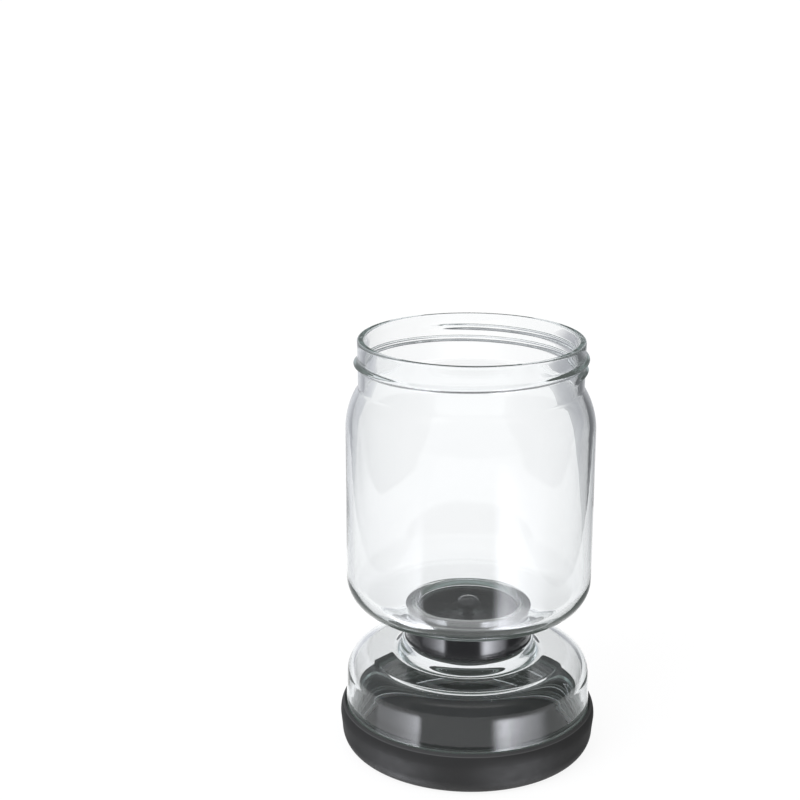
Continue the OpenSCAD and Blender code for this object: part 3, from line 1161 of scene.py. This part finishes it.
@dataclass(frozen=True)
class Card:
    """A flat card that faces the keeper: a softbox if it is bright, a flag if it is dark.

    Only mirrored and refracted rays meet it, so that it shapes the shine and lights nothing else. A
    lamp is the other way round: it lights the dull surfaces and shows in no shine.
    """

    name: str
    place: tuple[float, float, float]
    size: tuple[float, float]
    glow: float
    tint: tuple[float, float, float] = (0.92, 0.935, 1.0)
    turn: float = 0.0
    tilt: float = 0.0
    soft: tuple[float, float] = (0.1, 0.1)
    lamp: bool = False

    @classmethod
    def round_about(
        cls,
        name: str,
        around: float,
        distance: float,
        height: float,
        size: tuple[float, float],
        glow: float,
        soft: tuple[float, float],
    ) -> "Card":
        """A card that stands round the keeper and faces it.

        Args:
            name: the card's name.
            around: its direction from the keeper; 0 is the camera's side, and positive goes right.
            distance: its distance from the keeper's axis, in metres.
            height: height of its middle, in metres.
            size: its width and height, in metres.
            glow: its strength.
            soft: shares of its half width and half height over which the edges fade.

        Returns:
            The card.
        """
        a = math.radians(around)
        spot = (distance * math.sin(a), -distance * math.cos(a), height)
        return cls(name, spot, size, glow, turn=around, soft=soft)

    def material(self) -> bpy.types.Material:
        """An emission that fades smoothly towards the card's edges.

        Returns:
            The material.
        """
        n = Nodes(self.name)
        axes = n.add("ShaderNodeSeparateXYZ", Vector=n.add("ShaderNodeTexCoord").outputs["Object"])
        fades = []
        for axis, size, soft in zip("XZ", self.size, self.soft):
            far = n.add("ShaderNodeMath", operation="ABSOLUTE")
            n.link(axes.outputs[axis], far.inputs[0])
            span = size / 2
            fades.append(n.ranged(far.outputs[0], (span * (1.0 - soft), span), (1.0, 0.0), smooth=True))
        glow = n.add("ShaderNodeEmission", Color=(*self.tint, 1.0), Strength=self.glow)
        clear = n.add("ShaderNodeBsdfTransparent")
        mix = n.add("ShaderNodeMixShader", Fac=n.product(*fades))
        n.link(clear.outputs["BSDF"], mix.inputs[1])
        n.link(glow.outputs["Emission"], mix.inputs[2])
        n.link(mix.outputs["Shader"], n.output.inputs["Surface"])
        return n.material

    def build(self, rig: bpy.types.Object) -> None:
        """Builds the card on the rig.

        Args:
            rig: the object that carries the cards.
        """
        x, z = self.size[0] / 2 / MM, self.size[1] / 2 / MM
        corners = np.array([[-x, 0, -z], [x, 0, -z], [x, 0, z], [-x, 0, z]])
        piece = mesh_piece(self.name, corners, [np.array([[0, 1, 2, 3]])])
        piece.location = self.place
        piece.rotation_euler = (math.radians(self.tilt), 0.0, math.radians(self.turn))
        piece.data.materials.append(self.material())
        piece.visible_camera = piece.visible_shadow = False
        piece.visible_diffuse = self.lamp
        piece.visible_glossy = piece.visible_transmission = not self.lamp
        piece.parent = rig


@dataclass
class Studio:
    """A pale floor under an even white sky, cards that shape the shine, and the camera.

    The cards ride on a rig that turns about Z with the camera, so every view is lit alike.
    """

    sky: float = 1.05
    table: float = 0.875
    reach: float = 9.0
    lens: float = 73.6
    sensor: float = 36.0
    eye: tuple[float, float, float] = (-0.0338, -0.7506, 0.3930)
    dip: float = 16.106
    cards: tuple[Card, ...] = (
        Card.round_about("left_softbox", -68.0, 0.66, -0.64, (0.66, 1.20), 24.0, (0.30, 0.53)),
        Card.round_about("right_softbox", 48.0, 0.80, -0.64, (0.96, 1.20), 17.0, (0.60, 0.53)),
        Card("key_lamp", (-0.55, -0.55, 0.85), (0.8, 0.8), 5.0, turn=-45.0, tilt=-45.0, lamp=True),
        Card("front_flag", (0.0, -1.10, 0.10), (3.6, 2.6), 0.36),
        Card("back_flag", (0.0, 0.90, 0.62), (3.0, 0.64), 0.14, soft=(0.2, 0.25)),
        Card("left_flag", (-0.30, 0.15, 0.15), (1.6, 1.4), 0.36, turn=90.0, soft=(0.8, 0.8)),
        Card("right_flag", (0.28, 0.15, 0.15), (1.6, 1.4), 0.12, turn=90.0, soft=(0.8, 0.8)),
        Card("left_edge_flag", (-0.16, 0.50, 0.16), (0.90, 0.56), 0.70, turn=90.0, soft=(0.8, 0.8)),
        Card("right_edge_flag", (0.155, 0.50, 0.16), (0.90, 0.56), 0.46, turn=90.0, soft=(0.8, 0.8)),
        Card("top_flag", (0.0, 0.05, 0.90), (1.6, 1.6), 0.35, tilt=90.0, soft=(0.6, 0.6)),
    )

    def world(self) -> None:
        """The even white sky."""
        world = bpy.data.worlds.new("white_sky")
        world.use_nodes = True
        back = world.node_tree.nodes["Background"]
        back.inputs["Color"].default_value = (1.0, 1.0, 1.0, 1.0)
        back.inputs["Strength"].default_value = self.sky
        bpy.context.scene.world = world

    def floor(self) -> None:
        """A plain pale floor that glows like a light table and is not mirrored."""
        x = self.reach / MM
        corners = np.array([[-x, -x, 0.0], [x, -x, 0.0], [x, x, 0.0], [-x, x, 0.0]])
        piece = mesh_piece("pale_floor", corners, [np.array([[0, 1, 2, 3]])])
        n = Nodes("pale_light_table")
        n.set(Base_Color=(0.12, 0.12, 0.12, 1.0), Roughness=0.9, Specular_IOR_Level=0.1)
        n.set(Emission_Color=(1.0, 1.0, 1.0, 1.0), Emission_Strength=self.table)
        piece.data.materials.append(n.material)
        piece.visible_glossy = False

    def camera(self) -> bpy.types.Object:
        """The camera, at the photograph's viewing angle.

        Returns:
            The camera.
        """
        data = bpy.data.cameras.new("camera")
        data.lens, data.sensor_width = self.lens, self.sensor
        view = bpy.data.objects.new("camera", data)
        view.location = self.eye
        view.rotation_euler = (math.radians(90.0 - self.dip), 0.0, 0.0)
        bpy.context.scene.collection.objects.link(view)
        bpy.context.scene.camera = view
        return view

    def rig(self, view: bpy.types.Object) -> None:
        """The cards, on a rig that copies the camera's turn about Z.

        Args:
            view: the camera.
        """
        rig = bpy.data.objects.new("card_rig", None)
        bpy.context.scene.collection.objects.link(rig)
        follow = rig.constraints.new("COPY_ROTATION")
        follow.target, follow.use_x, follow.use_y = view, False, False
        for card in self.cards:
            card.build(rig)

    def build(self) -> None:
        """Sets the studio up."""
        bpy.context.scene.view_settings.view_transform = "Standard"
        self.world()
        self.floor()
        self.rig(self.camera())


def main() -> None:
    """Builds the keeper and the studio."""
    logging.basicConfig(level=logging.INFO, format="%(name)s %(message)s")
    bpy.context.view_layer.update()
    palette, waist, rim = Palette.mixed(), Waist(), Rim()
    Base(palette, rim).build()
    Reservoir(palette, waist, rim).build()
    Coupling(palette, waist).build()
    Jar(palette, waist).build()
    Studio().build()


if __name__ == "__main__":
    main()
